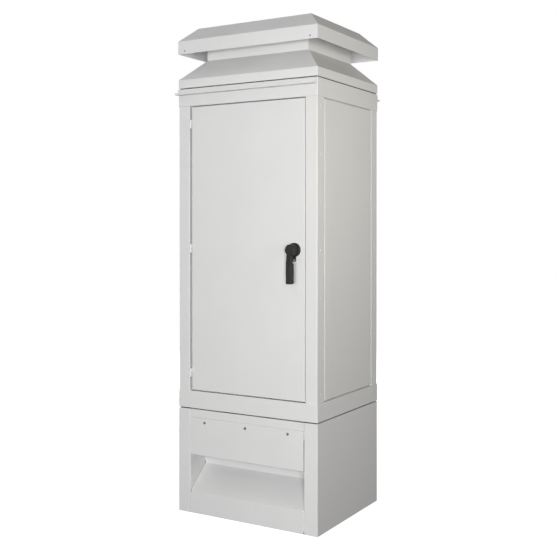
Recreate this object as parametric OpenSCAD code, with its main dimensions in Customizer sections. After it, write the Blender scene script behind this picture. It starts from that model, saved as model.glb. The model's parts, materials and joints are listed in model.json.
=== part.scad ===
// Outdoor equipment cabinet of folded sheet steel on a ventilated plinth, with a
// hinged front door, rod lock, rain gutters and a chimney roof under a hipped cap.
// Origin: centre of the footprint on the ground. The front faces -Y, +Z is up.

/* [Cabinet] */
// Width over the plinth and the body bands
cab_w = 600; // [580:1:680]
// Depth over the plinth and the body bands
cab_d = 500; // [460:1:600]
// Sheet of the plinth, the posts and the rings
frame_sheet = 2; // [1.5:0.1:2.4]
// Sheet of the panels, the door and the plates
panel_sheet = 1.5; // [1:0.1:2]
// Inside radius of the bends
bend_r = 1; // [0.5:0.1:1.2]
// Height of the seal strips under the body and under the roof
seal_h = 3; // [2:0.5:5]
// How far the seal strips stand back from the outer faces
seal_inset = 5; // [3:1:8]

/* [Plinth] */
// Height of the plinth
plinth_h = 393; // [360:1:450]
// Width of each front stile of the plinth
plinth_stile = 54; // [45:1:65]
// Height of the rail above the inlet cover
plinth_rail = 32; // [25:1:45]
// Height of the inlet cover
cover_h = 139; // [120:1:150]
// Gap round the inlet cover
cover_gap = 1.5; // [1:0.1:2.5]
// Depth of the folded edges of the inlet cover
cover_fold = 12; // [8:1:16]
// Height of the sill below the air inlet
sill_h = 82; // [60:1:90]
// Gap at each end of the sill
sill_gap = 2; // [1:0.1:3]
// Depth of the inlet ramp
ramp_depth = 98; // [80:1:120]
// Rise of the inlet ramp
ramp_rise = 85; // [60:1:90]
// Height of the wall behind the inlet cover
baffle_wall = 110; // [80:1:130]
// Width of the bottom and top flanges
flange_w = 40; // [36:1:45]
// Radius of an anchor hole
anchor_r = 7; // [5:0.5:8]
// Anchor hole centre from the side face
anchor_in_x = 24; // [20:1:28]
// Anchor hole centre from the front and rear faces
anchor_in_y = 60; // [40:1:80]
// Distance of the outer cover screws from the centre
screw_x = 180; // [120:1:200]
// Cover screws below the top edge of the cover
screw_drop = 14; // [10:1:20]
// Radius of a cover screw's shank
screw_r = 2.5; // [2:0.1:3]
// Radius of a cover screw's head
screw_head_r = 3.8; // [3.5:0.1:6]

/* [Body] */
// Height of the bottom ring
low_band = 66; // [50:1:80]
// Clear height of the door opening
opening_h = 1074; // [900:1:1200]
// Height of the top ring
top_band = 67; // [55:1:80]
// How far the rings stand proud of the posts
band_proud = 2; // [1:0.5:3]
// Width of each front stile of the body
stile_w = 50; // [44:1:60]
// Width of a post on the side and rear faces
post_w = 54; // [44:1:64]
// Depth of the groove round the side and rear panels
groove_depth = 9; // [6:0.5:10]
// Width of that groove
groove_w = 4.5; // [3:0.5:12]
// Overlap of a panel's flange behind its post
panel_lap = 22; // [14:1:26]
// Rivets on each post
rivet_count = 7; // [4:1:10]
// Radius of a rivet head
rivet_r = 3; // [2:0.5:4]
// First rivet from the ring
rivet_end = 32; // [20:1:60]
// Reach of the gutter in front of the body
gutter_reach = 28; // [18:1:36]
// Upturned edge of the gutter
gutter_lip = 7; // [5:0.5:12]
// How far the gutter's web stands off the body
gutter_proud = 7; // [6.5:0.5:10]
// Height of the gutter's web
gutter_web = 21; // [16:1:26]
// Gutter top below the top edge of the body
gutter_drop = 4; // [2:1:8]

/* [Door] */
// Depth of the folded door
door_depth = 16; // [14:1:20]
// Gap above and below the door
door_gap = 3.5; // [2:0.5:5]
// Gap on the lock side of the door
lock_gap = 2; // [2:0.5:4]
// Gap on the hinge side of the door
hinge_gap = 10.5; // [9.5:0.5:13]
// Width of the door's rear fold
door_fold = 14; // [12:1:18]
// Thickness of the door gasket
gasket_t = 5; // [3:0.5:6]
// Width of the door gasket
gasket_w = 7; // [5:0.5:8]
// Gap between the gasket and its seat
gasket_clear = 0.3; // [0.2:0.1:0.5]
// Width of the gasket seat round the opening
seat_w = 20; // [16:1:22]
// Radius of a hinge knuckle
knuckle_r = 4.2; // [3.8:0.1:4.4]
// Height of one hinge knuckle
knuckle_h = 16; // [12:1:20]
// Radius of a hinge pin
pin_r = 2; // [1.5:0.1:2.2]
// Running clearance on the pins and shafts
run_clear = 0.05; // [0.02:0.01:0.1]
// Outer hinges from the top and bottom of the door
hinge_end = 64; // [50:1:120]

/* [Lock] */
// Lever axis from the lock edge of the door
axis_in = 41; // [38:0.5:46]
// Radius of the rosette
rosette_r = 25; // [22:0.5:27]
// Thickness of the rosette
rosette_t = 9; // [7:0.5:12]
// Radius of the lever's hub
hub_r = 20; // [17:0.5:22]
// Reach of the hub in front of the door
hub_reach = 36; // [32:1:40]
// Lever length below its axis
lever_l = 119; // [100:1:140]
// Lever width
lever_w = 23; // [18:0.5:26]
// Lever thickness
lever_t = 16; // [12:0.5:18]
// How far the grip stands in front of the hub
crank = 6; // [3:0.5:8]
// Length of the grip
grip_l = 72; // [60:1:76]
// Radius of the padlock hole
padlock_r = 4.5; // [3:0.5:5]
// Padlock hole below the lever axis
padlock_drop = 35.5; // [33:0.5:40]
// Pressure angle of the teeth
tooth_angle = 20; // [14.5:0.5:25]
// Spindle radius
spindle_r = 5; // [4:0.5:5]
// Teeth on the pinion
pinion_teeth = 12; // [10:2:14]
// Rod travel over a quarter turn of the lever
rod_travel = 12; // [11:0.5:13]
// Rod width
rod_w = 6; // [5:0.5:7]
// Rod thickness
rod_t = 6; // [4:0.5:7]
// Clearance round a rod in its guide
rod_clear = 0.3; // [0.2:0.1:0.5]

/* [Roof] */
// Height of the collar's skirt
collar_skirt = 32; // [24:1:44]
// Inset and rise of the collar's slope
collar_slope = 79; // [60:1:90]
// Height of the neck
neck_h = 58; // [40:1:70]
// Gap from the foot of the neck up to the cap's skirt
cap_lift = 19; // [12:1:30]
// Height of the cap's skirt
cap_skirt = 49; // [40:1:60]
// Inset of the cap's slope
cap_inset = 56; // [40:1:70]
// Rise of the cap's slope
cap_rise = 54; // [40:1:64]
// How far the cap stands proud of the body
cap_proud = 1; // [0:0.5:4]
// Cap rivets from the corner
cap_rivet_in = 30; // [22:1:45]

/* [Inside] */
// Rail holes in from the edge of the door opening
rail_hole_in = 17.45; // [15:0.05:24]
// Width of a rail's face
rail_w = 25; // [20:1:28]
// Depth of a rail's side
rail_leg = 32; // [20:1:40]
// Rails behind the front face and ahead of the rear face
rail_in = 82; // [75:1:110]
// Height units on the rails
rail_units = 22; // [16:1:22]
// Side of a square rail hole
rail_hole = 9.5; // [8:0.1:10]
// Height of a rail support
support_h = 30; // [20:1:50]
// Width of the gland opening in the floor
gland_w = 300; // [200:1:360]
// Depth of the gland opening in the floor
gland_d = 110; // [80:1:140]
// Overlap of loose plates on what carries them
plate_lap = 8; // [6:1:9]
// Length of an air slot
slot_l = 60; // [40:1:80]
// Width of an air slot
slot_w = 6; // [4:0.5:8]
// Radius of the bolts in the seams
bolt_r = 5; // [4:0.5:6]
// Radius of the bolts' heads over their corners
bolt_head_r = 9; // [8:0.5:10]
// Bolts in from the outer faces
bolt_in = 21; // [20:0.5:22]

/* [Hidden] */
$fn = 48;

// Overshoot of a cut past the face that it opens
cut = 1;
// Half sizes of the footprint
hw = cab_w / 2;
hd = cab_d / 2;

// Levels from the ground up
cover_z1 = plinth_h - plinth_rail - cover_gap;
cover_z0 = cover_z1 - cover_h;
ramp_z1 = sill_h + ramp_rise;
body_z = plinth_h + seal_h;
open_z0 = body_z + low_band;
open_z1 = open_z0 + opening_h;
body_top = open_z1 + top_band;
gutter_z = body_top - gutter_drop - gutter_web;
roof_z = body_top + seal_h;
neck_z = roof_z + collar_skirt + collar_slope;
neck_top = neck_z + neck_h;
cap_z = neck_z + cap_lift;
cap_top = cap_z + cap_skirt + cap_rise;

// Outer faces of the posts, and the opening in the plinth's front
post_x = hw - band_proud;
post_y = hd - band_proud;
inlet_x = hw - plinth_stile;
inlet_y = -hd + ramp_depth;

// Door leaf in its opening, and the gasket's seat behind it
open_x = hw - stile_w;
door_y = -post_y;
door_back = door_y + door_depth;
seat_y = door_back + gasket_t + gasket_clear;
ring_fold = hd + seat_y + frame_sheet;
door_x0 = -open_x + hinge_gap;
door_x1 = open_x - lock_gap;
door_z0 = open_z0 + door_gap;
door_z1 = open_z1 - door_gap;
door_mid = (door_z0 + door_z1) / 2;

// Hinges: axis in the middle of the hinge gap, in the plane of the door's face
hinge_x = -open_x + hinge_gap / 2;
hinge_zs = [door_z0 + hinge_end, door_mid, door_z1 - hinge_end];
knuckle_gap = 0.3;

// Lock: a pinion on the spindle draws one rack down and the other up
axis_x = door_x1 - axis_in;
axis_z = door_mid;
pitch_r = rod_travel * 2 / PI;
tooth_pitch = 2 * PI * pitch_r / pinion_teeth;
// Tooth height above and below the pitch line and tooth width, as shares of the pitch
tooth_shares = [0.22, 0.3, 0.34];
addendum = tooth_shares[0] * tooth_pitch;
dedendum = tooth_shares[1] * tooth_pitch;
tooth_w = tooth_shares[2] * tooth_pitch;
// Half widths of a straight-sided tooth at its root and its tip
tooth_root = tooth_w / 2 + dedendum * tan(tooth_angle);
tooth_tip = tooth_w / 2 - addendum * tan(tooth_angle);
rod_set_back = 1.5;
rod_y0 = seat_y + frame_sheet + rod_set_back;
rod_y1 = rod_y0 + rod_t;
rod_in = pitch_r + dedendum;
case_hw = rod_in + rod_w + rod_clear + panel_sheet;
case_hh = rod_travel + 3 * tooth_pitch;
case_back = rod_y1 + rod_clear;
skin_back = door_y + panel_sheet;
// Rod ends stay this far inside the gasket seat's opening
rod_end_gap = 1.5;
rod_reach = open_z1 - seat_w - rod_end_gap - axis_z;

// Edges of the posts' side and rear legs, and the planes of the panels' flanges
side_edge = hd - post_w;
rear_edge = hw - post_w;
back_x = post_x - groove_depth;
back_y = post_y - groove_depth;

// Loose plates on the flanges of the rings
plate_x = hw - flange_w + plate_lap;
plate_y = hd - flange_w + plate_lap;
floor_z = body_z + frame_sheet;
slot_bar = 20;
slot_row = 10;
slot_margin = 30;
gland_y = plate_y - slot_margin - gland_d / 2;

// Rails
unit_h = 44.45;
unit_rows = [6.35, 22.225, 38.1];
rail_span = 2 * (open_x - rail_hole_in);
rail_x0 = (rail_span - rail_w) / 2;
rail_x1 = rail_x0 + rail_w;
rail_y = -hd + rail_in;
rail_h = rail_units * unit_h;
rail_z = (open_z0 + open_z1 - rail_h) / 2;
support_end = 60;

// Small forms that follow the sheet work
bend_steps = 4;
corner_r = frame_sheet + bend_r;
rail_backing = 30;
rail_joggle = 3;
gutter_foot = 8;
gutter_relief = 6;
screw_head_h = 2;
washer_h = 1;
washer_rim = 1.2;
sill_flange = 25;
sill_relief = 4;
baffle_lap = 10;
rear_return = 30;
rear_flange = 28;
seal_w = 32;
bolt_clear = 0.5;
bolt_head_h = 7;
seam_h = 0.8;
seam_d = 0.5;
rivet_h = 1.2;
leaf_t = 1.5;
leaf_back = 2;
gasket_in = panel_sheet + bend_r;
lever_gap = 1;
grip_edge = 4;
grip_step = 1;
grip_top = lever_l - grip_l;
neck_right = 5.5;
crank_top = 12;
lug_x = 0.5;
lug_r = padlock_r + 2;
button_edge = 3;
guide_wall = 1.5;
guide_h = 14;
guide_end = 40;
strap_w = 40;
strap_foot = 40;
strap_top = 22;
strap_x = 120;
tab_w = 46;
cap_rivet_z = 11;

// Sheet-metal colours
paint = [0.80, 0.80, 0.78];
inner_paint = [0.72, 0.73, 0.73];
black = [0.09, 0.09, 0.09];
zinc = [0.62, 0.63, 0.64];

// Geometry shared by the pieces

function unit(v) = v / norm(v);
function left_of(v) = [-v[1], v[0]];
function heading(p, i) = unit(p[i + 1] - p[i]);
// Point i of a polyline moved to its left by t, with mitred corners
function shifted(p, i, t) =
    let (a = heading(p, max(i - 1, 0)),
         b = heading(p, min(i, len(p) - 2)),
         n = unit(left_of(a) + left_of(b)))
    p[i] + n * t / (n * left_of(a));
function reversed(p) = [for (i = [len(p) - 1 : -1 : 0]) p[i]];

function turned(v, angle) = [v[0] * cos(angle) - v[1] * sin(angle), v[0] * sin(angle) + v[1] * cos(angle)];

// Round bend at point i of a sheet of thickness t, on the face that lies d to the left of the polyline
function bend(p, i, t, d) =
    let (a = heading(p, i - 1),
         b = heading(p, i),
         angle = atan2(cross(a, b), a * b),
         reach = angle > 0 ? bend_r + t : -bend_r,
         centre = shifted(p, i, reach))
    [for (k = [0 : bend_steps]) centre + left_of(turned(a, angle * k / bend_steps)) * (d - reach)];

// Face of a folded sheet that lies d to the left of the polyline
function bent(p, t, d) =
    let (last = len(p) - 1)
    [for (i = [0 : last]) each i == 0 || i == last ? [shifted(p, i, d)] : bend(p, i, t, d)];

// The same points with both ends run on past the cut
function run_on(p) =
    let (last = len(p) - 1)
    concat([p[0] - heading(p, 0) * cut], [for (i = [1 : last - 1]) p[i]],
           [p[last] + heading(p, last - 1) * cut]);

// Section of a folded sheet: its visible face is the polyline, its metal lies to the left
module folded(p, t) {
    polygon(concat(bent(p, t, 0), reversed(bent(p, t, t))));
}

// Outline of (y, z) points drawn out along X, centred
module along_x(l) {
    rotate([90, 0, 90]) linear_extrude(l, center = true) children();
}

// Outline of (x, z) points drawn out along Y, centred
module along_y(l) {
    rotate([90, 0, 0]) linear_extrude(l, center = true) children();
}

// Outline of (x, z) points standing t forward of the plane y
module forward(y, t) {
    translate([0, y, 0]) rotate([90, 0, 0]) linear_extrude(t) children();
}

module block(lo, hi) {
    translate(lo) cube(hi - lo);
}

// Block centred on the cabinet's middle in plan
module slab(x, y, z0, z1) {
    block([-x, -y, z0], [x, y, z1]);
}

module bore(r, y, t) {
    forward(y + cut, t + 2 * cut) circle(r);
}

module rounded(w, h, r) {
    square([w - 2 * r, h], center = true);
    square([w, h - 2 * r], center = true);
    for (x = [-1, 1], y = [-1, 1])
        translate([x * (w / 2 - r), y * (h / 2 - r)]) circle(r);
}

module mirrored_x() {
    children();
    mirror([1, 0, 0]) children();
}

module mirrored_y() {
    children();
    mirror([0, 1, 0]) children();
}

module at_bolts() {
    for (x = [-1, 1], y = [-1, 1])
        translate([x * (hw - bolt_in), y * (hd - bolt_in), 0]) children();
}

// Closed solid with a hipped outline: profile points are [inset, z] from the half sizes
module hipped(hx, hy, profile) {
    intersection() {
        along_y(2 * hy) hip_outline(hx, profile);
        along_x(2 * hx) hip_outline(hy, profile);
    }
}

module hip_outline(h, profile) {
    right = [for (p = profile) [h - p[0], p[1]]];
    left = [for (p = profile) [p[0] - h, p[1]]];
    polygon(concat(right, reversed(left)));
}

// Shell of a folded sheet with a hipped outline: the visible face is the profile, read from the top down
module hipped_sheet(hx, hy, profile, t) {
    difference() {
        union() {
            hipped(hx, hy, bent(profile, t, 0));
            children();
        }
        hipped(hx, hy, run_on(bent(profile, t, t)));
    }
}

// Rounds the four upright corners of its children between two levels
module round_corners(hx, hy, z0, z1) {
    arc = [for (k = [0 : bend_steps])
        [hx, hy] + corner_r * (turned([1, 0], 90 * k / bend_steps) - [1, 1])];
    outside = [[hx - corner_r, hy + cut], [hx + cut, hy + cut], [hx + cut, hy - corner_r]];
    difference() {
        children();
        mirrored_x() mirrored_y()
            translate([0, 0, z0 - cut]) linear_extrude(z1 - z0 + 2 * cut) polygon(concat(arc, outside));
    }
}

// Plinth

module plinth_right_side() {
    rear_y = hd - frame_sheet;
    mid = frame_sheet / 2;
    color(paint) difference() {
        union() {
            linear_extrude(plinth_h)
                folded([[inlet_x, inlet_y], [inlet_x, -hd], [hw, -hd], [hw, rear_y],
                        [hw - rear_return, rear_y]], frame_sheet);
            block([inlet_x + mid, -hd + mid, 0], [hw - mid, rear_y - frame_sheet, frame_sheet]);
            block([hw - flange_w, -hd + mid, plinth_h - frame_sheet],
                  [hw - mid, rear_y - frame_sheet, plinth_h]);
        }
        for (y = [-1, 1])
            translate([hw - anchor_in_x, y * (hd - anchor_in_y), -cut])
                cylinder(r = anchor_r, h = frame_sheet + 2 * cut);
        translate([0, 0, plinth_h - frame_sheet - cut])
            at_bolts() cylinder(r = bolt_r + bolt_clear, h = frame_sheet + 2 * cut);
    }
}

module plinth_left_side() {
    mirror([1, 0, 0]) plinth_right_side();
}

module at_cover_screws() {
    for (x = [-screw_x, 0, screw_x])
        translate([x, 0, cover_z1 - screw_drop]) children();
}

module plinth_front_rail() {
    foot = plinth_h - plinth_rail;
    back = -hd + panel_sheet;
    color(paint) difference() {
        along_x(2 * inlet_x)
            folded([[-hd + flange_w, plinth_h], [-hd, plinth_h], [-hd, foot + rail_joggle], [back, foot],
                    [back, foot - rail_backing]], frame_sheet);
        at_cover_screws() bore(screw_r + run_clear, back + frame_sheet, frame_sheet);
    }
}

module plinth_rear_panel() {
    color(paint) {
        block([-hw + frame_sheet, hd - frame_sheet, 0], [hw - frame_sheet, hd, plinth_h]);
        along_x(2 * inlet_x)
            folded([[hd - rear_flange, 0], [hd, 0], [hd, plinth_h], [hd - rear_flange, plinth_h]],
                   frame_sheet);
    }
}

module inlet_cover() {
    color(paint) difference() {
        along_x(2 * (inlet_x - cover_gap))
            folded([[-hd, cover_z1], [-hd, cover_z0], [-hd + cover_fold, cover_z0]], panel_sheet);
        at_cover_screws() bore(screw_r + bolt_clear, -hd + panel_sheet, panel_sheet);
    }
}

module cover_screws() {
    reach = washer_h + panel_sheet + frame_sheet;
    color(zinc) at_cover_screws() {
        forward(-hd - washer_h, screw_head_h) circle(screw_head_r);
        forward(-hd - washer_h + reach + frame_sheet, reach + frame_sheet) circle(screw_r);
    }
}

module cover_washers() {
    color(black) at_cover_screws()
        forward(-hd, washer_h) difference() {
            circle(screw_head_r + washer_rim);
            circle(screw_r + run_clear);
        }
}

module inlet_baffle() {
    half = inlet_x - sill_gap;
    wall_z1 = ramp_z1 + baffle_wall;
    color(paint) difference() {
        union() {
            along_x(2 * half)
                folded([[inlet_y, wall_z1], [inlet_y, ramp_z1], [-hd, sill_h], [-hd, 0],
                        [-hd + sill_flange, 0]], panel_sheet);
            block([-inlet_x - baffle_lap, inlet_y, ramp_z1 + baffle_lap],
                  [inlet_x + baffle_lap, inlet_y + panel_sheet, wall_z1]);
        }
        mirrored_x()
            block([half - sill_relief, -hd - cut, sill_h - sill_relief / 2],
                  [half + cut, -hd + sill_relief, sill_h + sill_relief]);
    }
}

module seal_strip(z) {
    color(black) difference() {
        slab(hw - seal_inset, hd - seal_inset, z, z + seal_h);
        slab(hw - seal_inset - seal_w, hd - seal_inset - seal_w, z - cut, z + seal_h + cut);
        translate([0, 0, z - cut]) at_bolts() cylinder(r = bolt_r + bolt_clear, h = seal_h + 2 * cut);
    }
}

module plinth_seal() {
    seal_strip(plinth_h);
}

// Hexagon bolts with nuts, through two flanges with the seal between them
module seam_bolts(z, upper) {
    grip = frame_sheet + seal_h + upper;
    color(zinc) translate([0, 0, z - frame_sheet]) at_bolts() {
        cylinder(r = bolt_r, h = grip);
        for (foot = [grip, -bolt_head_h])
            translate([0, 0, foot]) cylinder(r = bolt_head_r, h = bolt_head_h, $fn = 6);
    }
}

module plinth_bolts() {
    seam_bolts(plinth_h, frame_sheet);
}

// Body frame and panels

// Ring of the body: an outer wall with folds of the given widths at its top and foot
module ring(z0, z1, top_in, foot_in, flange_z) {
    round_corners(hw, hd, z0, z1) difference() {
        hipped_sheet(hw, hd, [[top_in, z1], [0, z1], [0, z0], [foot_in, z0]], frame_sheet);
        slab(hw - top_in, hd - top_in, z1 - frame_sheet - cut, z1 + cut);
        slab(hw - foot_in, hd - foot_in, z0 - cut, z0 + frame_sheet + cut);
        translate([0, 0, flange_z - frame_sheet - cut])
            at_bolts() cylinder(r = bolt_r + bolt_clear, h = 2 * (frame_sheet + cut));
    }
}

// Part of the gasket seat that stands on a ring between the two front posts
module ring_seat(z0, z1) {
    block([seat_w - open_x, seat_y, z0], [open_x - seat_w, seat_y + frame_sheet, z1]);
}

module bottom_ring() {
    color(paint) {
        ring(body_z, open_z0, ring_fold, flange_w, body_z);
        ring_seat(open_z0 - frame_sheet, open_z0 + seat_w);
    }
}

module top_ring() {
    color(paint) difference() {
        union() {
            ring(open_z1, body_top, flange_w, ring_fold, body_top);
            ring_seat(open_z1 - seat_w, open_z1 + frame_sheet);
        }
        mirrored_x()
            block([hw - seam_d, -hd - cut, gutter_z], [hw + cut, hd + cut, gutter_z + seam_h]);
    }
}

module post(profile) {
    color(paint) translate([0, 0, open_z0]) linear_extrude(opening_h) folded(profile, frame_sheet);
}

module post_front_right() {
    post([[open_x - seat_w, seat_y], [open_x, seat_y], [open_x, -post_y], [post_x, -post_y],
          [post_x, -side_edge], [back_x, -side_edge], [back_x, -side_edge - panel_lap]]);
}

module post_front_left() {
    mirror([1, 0, 0]) post_front_right();
}

module post_rear_right() {
    post([[back_x, side_edge + panel_lap], [back_x, side_edge], [post_x, side_edge], [post_x, post_y],
          [rear_edge, post_y], [rear_edge, back_y], [rear_edge + panel_lap, back_y]]);
}

module post_rear_left() {
    mirror([1, 0, 0]) post_rear_right();
}

// Tray panel with its face at x = face, its flange behind the edges of an opening
module tray_panel(face, edge) {
    back = face - groove_depth;
    half_h = opening_h / 2;
    half_w = edge + panel_lap;
    color(paint) translate([back, 0, (open_z0 + open_z1) / 2]) rotate([0, 90, 0])
        hipped_sheet(half_h - groove_w, edge - groove_w,
                     [[panel_lap, groove_depth], [0, groove_depth], [0, -panel_sheet]], panel_sheet)
            slab(half_h, half_w, -panel_sheet, 0);
}

module right_panel() {
    tray_panel(post_x, side_edge);
}

module left_panel() {
    mirror([1, 0, 0]) right_panel();
}

module rear_panel() {
    rotate([0, 0, 90]) tray_panel(post_y, rear_edge);
}

// Domed rivet heads along the side faces of the four posts
module panel_rivets() {
    pitch = (opening_h - 2 * rivet_end) / (rivet_count - 1);
    color(zinc) mirrored_x() mirrored_y()
        for (i = [0 : rivet_count - 1])
            translate([post_x, (hd + side_edge) / 2, open_z0 + rivet_end + i * pitch])
                rotate([0, 90, 0]) rivet_head();
}

module rivet_head() {
    ball_r = (rivet_r * rivet_r + rivet_h * rivet_h) / (2 * rivet_h);
    rotate_extrude() intersection() {
        translate([0, rivet_h - ball_r]) circle(ball_r);
        square([rivet_r, rivet_h]);
    }
}

module front_gutter() {
    half = hw - corner_r;
    tip = -hd - gutter_reach;
    web_y = -hd - gutter_proud + panel_sheet;
    foot_y = -hd - panel_sheet;
    top = gutter_z + gutter_web - panel_sheet;
    color(paint) {
        along_x(2 * half)
            folded([[tip, gutter_z + gutter_lip], [tip, gutter_z], [web_y, gutter_z], [web_y, top],
                    [foot_y, top], [foot_y, top - gutter_foot]], panel_sheet);
        mirrored_x()
            block([half - panel_sheet, web_y - panel_sheet / 2, gutter_z + gutter_relief],
                  [half, foot_y + panel_sheet / 2, top + panel_sheet / 2]);
    }
}

module rear_gutter() {
    mirror([0, 1, 0]) front_gutter();
}

// Inside of the body

module air_slot() {
    square([slot_l - slot_w, slot_w], center = true);
    for (x = [-1, 1])
        translate([x * (slot_l - slot_w) / 2, 0]) circle(slot_w / 2);
}

// Rows of air slots that fill an area of 2 hx by (y1 - y0)
module slot_field(hx, y0, y1) {
    step_x = slot_l + slot_bar;
    step_y = slot_w + slot_row;
    columns = floor((hx - slot_l / 2) / step_x);
    for (i = [-columns : columns], y = [y0 : step_y : y1])
        translate([i * step_x, y]) air_slot();
}

module floor_plate() {
    color(inner_paint) translate([0, 0, floor_z]) linear_extrude(panel_sheet) difference() {
        square([2 * plate_x, 2 * plate_y], center = true);
        translate([0, gland_y]) square([gland_w, gland_d], center = true);
        slot_field(plate_x - slot_margin, slot_margin - plate_y, gland_y - gland_d / 2 - slot_margin);
    }
}

module gland_plate() {
    color(zinc) translate([0, gland_y, floor_z + panel_sheet]) linear_extrude(panel_sheet)
        square([gland_w + 2 * plate_lap, gland_d + 2 * plate_lap], center = true);
}

module vent_plate() {
    inset = collar_slope + slot_margin;
    color(inner_paint) translate([0, 0, body_top - frame_sheet - panel_sheet]) linear_extrude(panel_sheet)
        difference() {
            square([2 * plate_x, 2 * plate_y], center = true);
            slot_field(hw - inset, inset - hd, hd - inset);
        }
}

module rail_front_right() {
    color(zinc) translate([0, 0, rail_z]) difference() {
        linear_extrude(rail_h)
            folded([[rail_x0, rail_y], [rail_x1, rail_y], [rail_x1, rail_y + rail_leg]], panel_sheet);
        forward(rail_y + panel_sheet + cut, panel_sheet + 2 * cut)
            for (u = [0 : rail_units - 1], row = unit_rows)
                translate([rail_span / 2, u * unit_h + row]) square(rail_hole, center = true);
    }
}

module rail_front_left() {
    mirror([1, 0, 0]) rail_front_right();
}

module rail_rear_right() {
    mirror([0, 1, 0]) rail_front_right();
}

module rail_rear_left() {
    mirror([1, 0, 0]) rail_rear_right();
}

// Channels from front post to rear post, bearing on the panel's flanges
module rail_supports_right() {
    out = back_x - panel_sheet;
    half = support_h / 2;
    levels = [rail_z + support_end, rail_z + rail_h / 2, rail_z + rail_h - support_end];
    color(zinc) for (z = levels)
        translate([0, 0, z]) along_y(2 * (side_edge + panel_lap))
            folded([[out, half], [rail_x1, half], [rail_x1, -half], [out, -half]], panel_sheet);
}

module rail_supports_left() {
    mirror([1, 0, 0]) rail_supports_right();
}

// Hinges

module at_hinges() {
    for (z = hinge_zs)
        translate([hinge_x, door_y, z]) children();
}

// Knuckle with a leaf from x0 to x1, reaching back to y
module hinge_half(x0, x1, y) {
    difference() {
        union() {
            cylinder(r = knuckle_r, h = knuckle_h);
            block([x0, 0, 0], [x1, y, knuckle_h]);
        }
        translate([0, 0, -cut]) cylinder(r = pin_r + run_clear, h = knuckle_h + 2 * cut);
    }
}

// Lower knuckles, each on a leaf along the jamb
module frame_hinges() {
    color(paint) at_hinges() translate([0, 0, -knuckle_h - knuckle_gap / 2])
        hinge_half(-hinge_gap / 2, leaf_t - hinge_gap / 2, seat_y - bend_r - door_y);
}

// Upper knuckles, each on a leaf along the edge of the door
module door_hinges() {
    color(paint) at_hinges() translate([0, 0, knuckle_gap / 2])
        hinge_half(hinge_gap / 2 - leaf_t, hinge_gap / 2, door_depth - leaf_back);
}

module hinge_pins() {
    length = 2 * knuckle_h + knuckle_gap;
    color(zinc) at_hinges() cylinder(r = pin_r, h = length, center = true);
}

// Door

module door_leaf() {
    half_w = (door_x1 - door_x0) / 2;
    half_h = (door_z1 - door_z0) / 2;
    color(paint) difference() {
        translate([(door_x0 + door_x1) / 2, door_back, door_mid]) rotate([90, 0, 0]) difference() {
            hipped_sheet(half_w, half_h, [[door_fold, door_depth], [0, door_depth], [0, 0], [door_fold, 0]],
                         panel_sheet);
            slab(half_w - door_fold, half_h - door_fold, -cut, panel_sheet + cut);
        }
        at_lock() bore(spindle_r + lever_gap, skin_back, panel_sheet);
    }
}

module door_gasket() {
    size = [door_x1 - door_x0 - 2 * gasket_in, door_z1 - door_z0 - 2 * gasket_in];
    rim = [gasket_w, gasket_w];
    color(black) forward(door_back + gasket_t, gasket_t)
        translate([door_x0 + gasket_in, door_z0 + gasket_in]) difference() {
            square(size);
            translate(rim) square(size - 2 * rim);
        }
}

// Lock

module at_lock() {
    translate([axis_x, 0, axis_z]) children();
}

// Round disc standing on the plane y, with its front edge rounded
module button(y, r, h, edge) {
    translate([0, y, 0]) rotate([90, 0, 0]) rotate_extrude() {
        square([r - edge, h]);
        square([r, h - edge]);
        intersection() {
            translate([r - edge, h - edge]) circle(edge);
            square([r, h]);
        }
    }
}

module rosette() {
    color(black) at_lock() difference() {
        union() {
            button(door_y, rosette_r, rosette_t, button_edge);
            forward(door_y, rosette_t - lever_gap) translate([lug_x, -padlock_drop]) {
                circle(lug_r);
                translate([-lug_r, 0]) square([2 * lug_r, padlock_drop]);
            }
        }
        bore(spindle_r + run_clear, door_y, rosette_t);
        translate([lug_x, 0, -padlock_drop]) bore(padlock_r, door_y, rosette_t);
    }
}

// Lever outline from the front, with its axis at the origin and room for the padlock beside its neck
module lever_front() {
    half = lever_w / 2;
    polygon([[-half, 0], [neck_right, 0], [neck_right, grip_edge - grip_top], [half, -grip_top - grip_edge],
             [-half, -grip_top - grip_edge]]);
    translate([0, -grip_top - grip_l / 2]) rounded(lever_w, grip_l, grip_edge);
}

// Lever outline from the side: the grip stands further out than the hub
module lever_side() {
    front = door_y - hub_reach;
    out = front - crank;
    polygon([[front + lever_t, 0], [front, 0], [front, -crank_top], [out, -grip_top], [out, -lever_l],
             [out + lever_t, -lever_l], [out + lever_t, -grip_top], [front + lever_t, -crank_top]]);
}

module lever() {
    hub_back = door_y - rosette_t - lever_gap;
    grip_y = door_y - hub_reach - crank + lever_t / 2;
    color(black) at_lock() {
        button(hub_back, hub_r, hub_reach - rosette_t - lever_gap, button_edge);
        intersection() {
            forward(door_y, hub_reach + 2 * crank) lever_front();
            along_x(2 * lever_w) lever_side();
        }
        translate([0, grip_y, -lever_l + grip_edge]) linear_extrude(grip_l - 2 * grip_edge)
            rounded(lever_w + grip_step, lever_t + grip_step, grip_edge);
    }
}

module spindle() {
    y0 = door_y - rosette_t - lever_gap;
    y1 = case_back + panel_sheet;
    color(zinc) at_lock() forward(y1, y1 - y0) circle(spindle_r);
}

module pinion() {
    root_r = pitch_r - dedendum;
    color(zinc) at_lock() forward(rod_y1, rod_t) difference() {
        union() {
            circle(root_r);
            for (i = [0 : pinion_teeth - 1])
                rotate(i * 360 / pinion_teeth)
                    polygon([[spindle_r + addendum, -tooth_root], [root_r, -tooth_root],
                             [pitch_r + addendum, -tooth_tip], [pitch_r + addendum, tooth_tip],
                             [root_r, tooth_root], [spindle_r + addendum, tooth_root]]);
        }
        circle(spindle_r + run_clear);
    }
}

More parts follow.
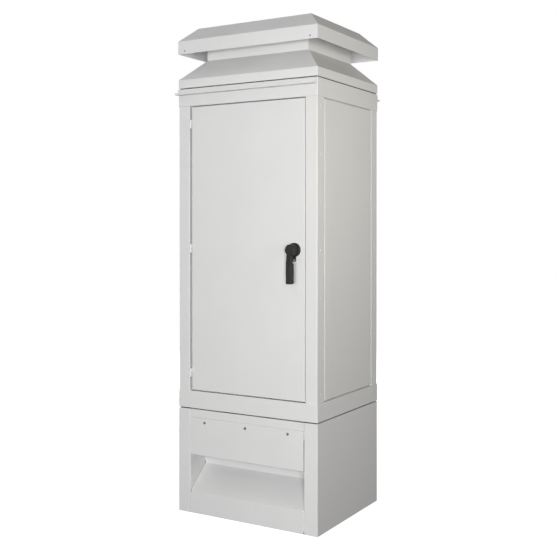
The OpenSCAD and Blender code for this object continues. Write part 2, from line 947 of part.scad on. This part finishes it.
// Rod from its rack beside the pinion up to the edge of the gasket seat
module rod_outline(reach) {
    foot = -2 * tooth_pitch;
    tip_x = pitch_r - addendum;
    last = ceil(rod_travel / tooth_pitch) + 1;
    middles = [for (k = [-2 : last]) (k + 0.5) * tooth_pitch];
    rack = [for (z = middles) each [[rod_in, z - tooth_root], [tip_x, z - tooth_tip],
                                    [tip_x, z + tooth_tip], [rod_in, z + tooth_root]]];
    polygon(concat([[rod_in + rod_w, foot], [rod_in, foot]], rack,
                   [[rod_in, reach], [rod_in + rod_w, reach]]));
}

module upper_rod() {
    color(zinc) at_lock() forward(rod_y1, rod_t) rod_outline(rod_reach);
}

module lower_rod() {
    color(zinc) at_lock() rotate([0, 180, 0]) forward(rod_y1, rod_t) rod_outline(rod_reach);
}

// Channel over the pinion and racks, on the back of the door's skin
module lock_case() {
    x0 = axis_x - case_hw;
    x1 = axis_x + case_hw;
    color(zinc) difference() {
        translate([0, 0, axis_z - case_hh]) linear_extrude(2 * case_hh)
            folded([[x0, case_back], [x0, skin_back], [x1, skin_back], [x1, case_back]], panel_sheet);
        at_lock() bore(spindle_r + lever_gap, skin_back + panel_sheet, panel_sheet);
    }
}

module lock_cover() {
    color(zinc) at_lock() forward(case_back + panel_sheet, panel_sheet) difference() {
        square([2 * case_hw, 2 * case_hh], center = true);
        circle(spindle_r + run_clear);
    }
}

// Moulded guides that stand on the door's skin and hold the rods
module rod_guides() {
    color(black) at_lock() for (turn = [0, 180]) rotate([0, turn, 0])
        for (z = [rod_reach / 2, rod_reach - guide_end]) {
            x0 = rod_in - rod_clear;
            x1 = rod_in + rod_w + rod_clear;
            difference() {
                block([x0 - guide_wall, skin_back, z],
                      [x1 + guide_wall, case_back + guide_wall, z + guide_h]);
                block([x0, rod_y0 - rod_clear, z - cut], [x1, case_back, z + guide_h + cut]);
            }
        }
}

// Roof

module roof_seal() {
    seal_strip(body_top);
}

module roof_bolts() {
    seam_bolts(body_top, panel_sheet);
}

module roof_collar() {
    t = panel_sheet;
    profile = [[collar_slope, neck_top], [collar_slope, neck_z], [0, roof_z + collar_skirt], [0, roof_z],
               [flange_w, roof_z]];
    color(paint) round_corners(hw, hd, roof_z, roof_z + collar_skirt) difference() {
        hipped_sheet(hw, hd, profile, t);
        slab(hw - flange_w, hd - flange_w, roof_z - cut, roof_z + t + cut);
        translate([0, 0, roof_z - cut]) at_bolts() cylinder(r = bolt_r + bolt_clear, h = t + 2 * cut);
    }
}

// Straps from the neck up to the underside of the cap
module cap_brackets() {
    y = hd - collar_slope - panel_sheet;
    z1 = cap_top - panel_sheet;
    color(zinc) mirrored_y() mirrored_x() translate([strap_x, 0, 0]) along_x(strap_w)
        folded([[y, neck_top - strap_foot], [y, z1], [y - strap_top, z1]], panel_sheet);
}

module roof_cap() {
    hx = hw + cap_proud;
    hy = hd + cap_proud;
    t = panel_sheet;
    slope_z = cap_z + cap_skirt;
    color(paint) {
        hipped_sheet(hx, hy,
                     [[cap_inset + cap_rise, cap_top], [cap_inset, cap_top], [0, slope_z], [0, cap_z]], t);
        mirrored_x() mirrored_y()
            block([hx - tab_w, hy - 2 * t, cap_z], [hx - t, hy - t, slope_z - 2 * t]);
    }
}

module cap_rivets() {
    color(zinc) mirrored_x() mirrored_y()
        translate([hw + cap_proud - cap_rivet_in, hd + cap_proud, cap_z + cap_rivet_z])
            rotate([-90, 0, 0]) rivet_head();
}

plinth_left_side();
plinth_right_side();
plinth_front_rail();
plinth_rear_panel();
inlet_cover();
cover_screws();
cover_washers();
inlet_baffle();
plinth_seal();
plinth_bolts();
bottom_ring();
top_ring();
post_front_left();
post_front_right();
post_rear_left();
post_rear_right();
left_panel();
right_panel();
rear_panel();
panel_rivets();
front_gutter();
rear_gutter();
floor_plate();
gland_plate();
vent_plate();
rail_front_left();
rail_front_right();
rail_rear_left();
rail_rear_right();
rail_supports_left();
rail_supports_right();
frame_hinges();
hinge_pins();
roof_seal();
roof_bolts();
roof_collar();
cap_brackets();
roof_cap();
cap_rivets();
door_leaf();
door_gasket();
door_hinges();
rosette();
lock_case();
lock_cover();
rod_guides();
lever();
spindle();
pinion();
upper_rod();
lower_rod();
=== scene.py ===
"""Looks of the roadside utility cabinet: finishes, shaded sheet bends, camera and studio."""
import json
import math

import bpy
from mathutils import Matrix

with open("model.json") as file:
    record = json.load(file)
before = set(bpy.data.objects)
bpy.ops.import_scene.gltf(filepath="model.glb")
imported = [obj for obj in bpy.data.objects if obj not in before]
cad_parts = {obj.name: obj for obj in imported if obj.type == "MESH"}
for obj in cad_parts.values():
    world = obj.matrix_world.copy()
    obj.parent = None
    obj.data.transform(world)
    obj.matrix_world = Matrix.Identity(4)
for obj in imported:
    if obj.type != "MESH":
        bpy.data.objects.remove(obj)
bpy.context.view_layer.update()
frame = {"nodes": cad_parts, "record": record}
nodes = frame["nodes"]
slot_of = {part["node"]: part["material_slot"] for part in frame["record"]["subparts"]}

# The photograph's frame, in pixels
IMAGE_SIDE = 556
FOCAL_PX = 902.4
HORIZON_PX = 234.1

# Camera at the photograph's viewing angle
CAMERA_PLACE = (1.7832, -3.0118, 1.0751)
CAMERA_YAW = math.radians(30.745)
CAMERA_PITCH = math.radians(0.364)
SENSOR_MM = 36.0

# Room brightness at the horizon and overhead, and the Z of the direction from which each holds:
# as the room lights the cabinet, and as it is seen or mirrored
ROOM_LIGHT = (0.20, 0.0)
ROOM_LIGHT_SPAN = (0.0, 0.35)
ROOM_SEEN = (1.0, 0.2)
ROOM_SEEN_SPAN = (0.3, 0.6)

# Floor: side in metres, shade that is seen, shade that bounces light, and glow by distance in metres
FLOOR_SIDE = 40.0
FLOOR_SHADE = 0.6
FLOOR_BOUNCE = 0.15
FLOOR_GLOW = (0.86, 1.0)
FLOOR_GLOW_SPAN = (0.4, 1.6)

# Softboxes: name, place, target, size in metres, power in watts, colour and spread in degrees
WHITE = (1.0, 1.0, 1.0)
FULL_SPREAD = 180
SOFTBOXES = (
    ("key_box", (2.3, -3.5, 1.05), (0.1, 0.0, 1.1), (1.0, 1.2), 86.0, WHITE, FULL_SPREAD),
    ("fill_box", (0.9, -4.2, 0.9), (0.0, 0.0, 1.1), (1.4, 1.2), 62.0, WHITE, FULL_SPREAD),
    ("top_box", (0.2, -3.0, 3.6), (0.0, 0.0, 1.2), (1.2, 1.2), 13.0, WHITE, FULL_SPREAD),
    ("sky_box", (-1.5, -1.0, 3.8), (0.0, 0.0, 1.8), (1.2, 1.2), 13.0, WHITE, FULL_SPREAD),
    ("side_box", (1.8, -0.55, 1.3), (0.3, -0.1, 1.3), (0.6, 0.8), 3.0, (1.0, 0.95, 0.84), 105),
    ("roof_box", (1.7, 0.3, 1.75), (0.3, 0.0, 1.65), (0.7, 0.4), 1.0, (1.0, 0.96, 0.87), 120),
    ("back_box", (-2.6, 3.0, 2.2), (0.0, 0.0, 1.0), (2.0, 1.6), 100.0, WHITE, FULL_SPREAD),
)

# Corners closer than this are one, in metres
WELD_GAP = 1e-6

# Edge radius of the moulded pieces in metres, and the angle from which an edge counts as sharp
PLASTIC_EDGE = 0.0010
EDGE_STEPS = 3
EDGE_ANGLE = math.radians(32)

# Octaves of the colour mottling and of the fine grain, and the range that their noise mostly keeps to
MOTTLE_DETAIL = 3.0
GRAIN_DETAIL = 2.0
NOISE_SPAN = (0.3, 0.7)

# Finishes: colour and how far it strays, mottling and grain in waves per metre, depth of the grain in metres,
# and roughness from low to high
FINISHES = {
    "grey_paint": {
        "name": "grey_powder_coat", "colour": (0.70, 0.699, 0.697), "spread": 0.012,
        "mottle_scale": 7.0, "grain_scale": 700.0, "grain_depth": 0.00002,
        "roughness": (0.34, 0.42), "specular": 0.2,
    },
    # Rivets: the near-white colour is partly the rivets' own light metal and partly painted highlight,
    # standing in for the glint on the domed heads
    "rivet_metal": {
        "name": "rivet_white_with_painted_highlight", "colour": (0.93, 0.93, 0.92), "spread": 0.02,
        "mottle_scale": 60.0, "grain_scale": 900.0, "grain_depth": 0.00001,
        "roughness": (0.14, 0.20), "specular": 0.9,
    },
    "dark_rivet": {
        "name": "dark_rivet", "colour": (0.14, 0.14, 0.14), "spread": 0.05,
        "mottle_scale": 60.0, "grain_scale": 900.0, "grain_depth": 0.00002,
        "roughness": (0.45, 0.55),
    },
    "dark_zinc": {
        "name": "dark_zinc_screw", "colour": (0.16, 0.165, 0.17), "spread": 0.08,
        "mottle_scale": 90.0, "grain_scale": 900.0, "grain_depth": 0.00002,
        "roughness": (0.35, 0.45), "metallic": 0.7,
    },
    "zinc_steel": {
        "name": "zinc_plate", "colour": (0.42, 0.43, 0.44), "spread": 0.08,
        "mottle_scale": 45.0, "grain_scale": 600.0, "grain_depth": 0.00002,
        "roughness": (0.42, 0.54), "metallic": 0.85,
    },
    "black_rubber": {
        "name": "black_foam_rubber", "colour": (0.022, 0.022, 0.023), "spread": 0.15,
        "mottle_scale": 90.0, "grain_scale": 1200.0, "grain_depth": 0.0001,
        "roughness": (0.78, 0.92),
    },
    "black_plastic": {
        "name": "black_moulded_plastic", "colour": (0.008, 0.008, 0.0076), "spread": 0.08,
        "mottle_scale": 40.0, "grain_scale": 1500.0, "grain_depth": 0.00004,
        "roughness": (0.42, 0.52), "specular": 0.3,
    },
}

# Small pieces whose finish differs from that of their material slot
PIECE_FINISH = {"cap_rivets": "dark_rivet", "cover_screws": "dark_zinc", "cover_washers": "dark_zinc"}


# Node helpers

def empty_tree(owner, output_kind):
    """Node tree of a material or world with only its output, and the input for the surface."""
    owner.use_nodes = True
    tree = owner.node_tree
    tree.nodes.clear()
    output = tree.nodes.new(output_kind)
    return tree, output.inputs["Surface"]


def object_noise(tree, scale, detail):
    """Noise over the part's own coordinates, with scale in waves per metre."""
    place = tree.nodes.new("ShaderNodeTexCoord")
    noise = tree.nodes.new("ShaderNodeTexNoise")
    noise.inputs["Scale"].default_value = scale
    noise.inputs["Detail"].default_value = detail
    tree.links.new(place.outputs["Object"], noise.inputs["Vector"])
    return noise.outputs["Fac"]


def ramp(tree, value, limits, low, high):
    """Colour that runs from low to high as value runs between two limits."""
    node = tree.nodes.new("ShaderNodeValToRGB")
    first, last = node.color_ramp.elements
    first.position, last.position = limits
    first.color, last.color = (*low, 1.0), (*high, 1.0)
    tree.links.new(value, node.inputs["Fac"])
    return node.outputs["Color"]


def between(tree, value, limits, results):
    """Number that runs between two results as value runs between two limits."""
    node = tree.nodes.new("ShaderNodeMapRange")
    node.inputs["From Min"].default_value, node.inputs["From Max"].default_value = limits
    node.inputs["To Min"].default_value, node.inputs["To Max"].default_value = results
    tree.links.new(value, node.inputs["Value"])
    return node.outputs["Result"]


def bump(tree, shader, height, depth):
    """Relief of the given depth in metres on a shader's surface."""
    node = tree.nodes.new("ShaderNodeBump")
    node.inputs["Distance"].default_value = depth
    tree.links.new(height, node.inputs["Height"])
    tree.links.new(node.outputs["Normal"], shader.inputs["Normal"])


def matte(tree, shade):
    """Plain grey that scatters light evenly."""
    shader = tree.nodes.new("ShaderNodeBsdfDiffuse")
    shader.inputs["Color"].default_value = (shade, shade, shade, 1.0)
    return shader.outputs["BSDF"]


def when_seen(tree, lighting, seen):
    """One shader for rays that light the cabinet, another for rays that the eye or a mirror sends."""
    path = tree.nodes.new("ShaderNodeLightPath")
    direct = tree.nodes.new("ShaderNodeMath")
    direct.operation = "ADD"
    tree.links.new(path.outputs["Is Camera Ray"], direct.inputs[0])
    tree.links.new(path.outputs["Is Glossy Ray"], direct.inputs[1])
    either = tree.nodes.new("ShaderNodeMath")
    either.operation = "ADD"
    either.use_clamp = True
    tree.links.new(direct.outputs["Value"], either.inputs[0])
    tree.links.new(path.outputs["Is Transmission Ray"], either.inputs[1])
    mix = tree.nodes.new("ShaderNodeMixShader")
    tree.links.new(either.outputs["Value"], mix.inputs["Fac"])
    tree.links.new(lighting, mix.inputs[1])
    tree.links.new(seen, mix.inputs[2])
    return mix.outputs["Shader"]


# Finishes and edges

def scaled(colour, factor):
    return tuple(channel * factor for channel in colour)


def finish_material(name, colour, spread, mottle_scale, roughness, grain_scale, grain_depth, metallic=0.0,
                    specular=0.5):
    """Surface with slow colour mottling, uneven gloss and a fine grain."""
    material = bpy.data.materials.new(name)
    tree, surface = empty_tree(material, "ShaderNodeOutputMaterial")
    shader = tree.nodes.new("ShaderNodeBsdfPrincipled")
    tree.links.new(shader.outputs["BSDF"], surface)
    mottle = object_noise(tree, mottle_scale, MOTTLE_DETAIL)
    grain = object_noise(tree, grain_scale, GRAIN_DETAIL)
    colours = ramp(tree, mottle, NOISE_SPAN, scaled(colour, 1 - spread), scaled(colour, 1 + spread))
    tree.links.new(colours, shader.inputs["Base Color"])
    tree.links.new(between(tree, mottle, NOISE_SPAN, roughness), shader.inputs["Roughness"])
    shader.inputs["Metallic"].default_value = metallic
    shader.inputs["Specular IOR Level"].default_value = specular
    bump(tree, shader, grain, grain_depth)
    return material


def join_corners(piece):
    """Joins the corners that neighbouring faces share."""
    weld = piece.modifiers.new("join", "WELD")
    weld.merge_threshold = WELD_GAP


def keep_cut_edges(piece):
    """Shades the bends of a sheet round and leaves its cut edges sharp."""
    join_corners(piece)
    split = piece.modifiers.new("cut_edges", "EDGE_SPLIT")
    split.use_edge_angle = True
    split.split_angle = EDGE_ANGLE
    normals = piece.modifiers.new("normals", "WEIGHTED_NORMAL")
    normals.keep_sharp = True


def soften_edges(piece):
    """Rounds the edges that a mould would leave round."""
    join_corners(piece)
    bevel = piece.modifiers.new("edge", "BEVEL")
    bevel.width = PLASTIC_EDGE
    bevel.segments = EDGE_STEPS
    bevel.limit_method = "ANGLE"
    bevel.angle_limit = EDGE_ANGLE
    bevel.harden_normals = True
    normals = piece.modifiers.new("normals", "WEIGHTED_NORMAL")
    normals.keep_sharp = False


def dress():
    """Gives each piece its finish, and the edges of a moulded piece or of a sheet."""
    finishes = {slot: finish_material(**finish) for slot, finish in FINISHES.items()}
    for name, piece in nodes.items():
        slot = slot_of[name]
        piece.data.materials.clear()
        piece.data.materials.append(finishes[PIECE_FINISH.get(name, slot)])
        if slot == "black_plastic":
            soften_edges(piece)
        else:
            keep_cut_edges(piece)


# Studio

def add_camera():
    """Camera that sees the cabinet as the photograph shows it."""
    data = bpy.data.cameras.new("camera")
    data.sensor_width = SENSOR_MM
    data.lens = FOCAL_PX / IMAGE_SIDE * SENSOR_MM
    data.shift_y = (HORIZON_PX - IMAGE_SIDE / 2) / IMAGE_SIDE
    camera = bpy.data.objects.new("camera", data)
    camera.location = CAMERA_PLACE
    camera.rotation_euler = (math.pi / 2 - CAMERA_PITCH, 0.0, CAMERA_YAW)
    bpy.context.collection.objects.link(camera)
    bpy.context.scene.camera = camera


def add_world():
    """Room that is white at the horizon and dim overhead, and that lights the cabinet a little."""
    world = bpy.data.worlds.new("studio")
    bpy.context.scene.world = world
    tree, surface = empty_tree(world, "ShaderNodeOutputWorld")
    direction = tree.nodes.new("ShaderNodeTexCoord")
    axes = tree.nodes.new("ShaderNodeSeparateXYZ")
    tree.links.new(direction.outputs["Generated"], axes.inputs["Vector"])
    shaders = []
    for limits, results in ((ROOM_LIGHT_SPAN, ROOM_LIGHT), (ROOM_SEEN_SPAN, ROOM_SEEN)):
        shader = tree.nodes.new("ShaderNodeBackground")
        shader.inputs["Color"].default_value = (*WHITE, 1.0)
        tree.links.new(between(tree, axes.outputs["Z"], limits, results), shader.inputs["Strength"])
        shaders.append(shader.outputs["Background"])
    tree.links.new(when_seen(tree, *shaders), surface)


def add_floor():
    """Pale floor that runs out to white away from the cabinet and keeps its shadow."""
    bpy.ops.mesh.primitive_plane_add(size=FLOOR_SIDE)
    floor = bpy.context.object
    floor.name = "floor"
    material = bpy.data.materials.new("pale_floor")
    tree, surface = empty_tree(material, "ShaderNodeOutputMaterial")
    place = tree.nodes.new("ShaderNodeTexCoord")
    distance = tree.nodes.new("ShaderNodeVectorMath")
    distance.operation = "LENGTH"
    tree.links.new(place.outputs["Object"], distance.inputs[0])
    glow = tree.nodes.new("ShaderNodeEmission")
    strength = between(tree, distance.outputs["Value"], FLOOR_GLOW_SPAN, FLOOR_GLOW)
    tree.links.new(strength, glow.inputs["Strength"])
    seen = tree.nodes.new("ShaderNodeAddShader")
    tree.links.new(matte(tree, FLOOR_SHADE), seen.inputs[0])
    tree.links.new(glow.outputs["Emission"], seen.inputs[1])
    tree.links.new(when_seen(tree, matte(tree, FLOOR_BOUNCE), seen.outputs["Shader"]), surface)
    floor.data.materials.append(material)


def add_softbox(name, place, target, size, power, colour, spread):
    """Rectangular lamp that faces its target."""
    data = bpy.data.lights.new(name, "AREA")
    data.shape = "RECTANGLE"
    data.size, data.size_y = size
    data.energy = power
    data.color = colour
    data.spread = math.radians(spread)
    lamp = bpy.data.objects.new(name, data)
    lamp.location = place
    across, along, up = (end - start for start, end in zip(place, target))
    tilt = math.atan2(math.hypot(across, along), -up)
    turn = math.atan2(-across, along)
    lamp.rotation_euler = (tilt, 0.0, turn)
    bpy.context.collection.objects.link(lamp)


def light_studio():
    for softbox in SOFTBOXES:
        add_softbox(*softbox)


dress()
add_camera()
add_world()
add_floor()
light_studio()
bpy.context.scene.view_settings.view_transform = "Standard"
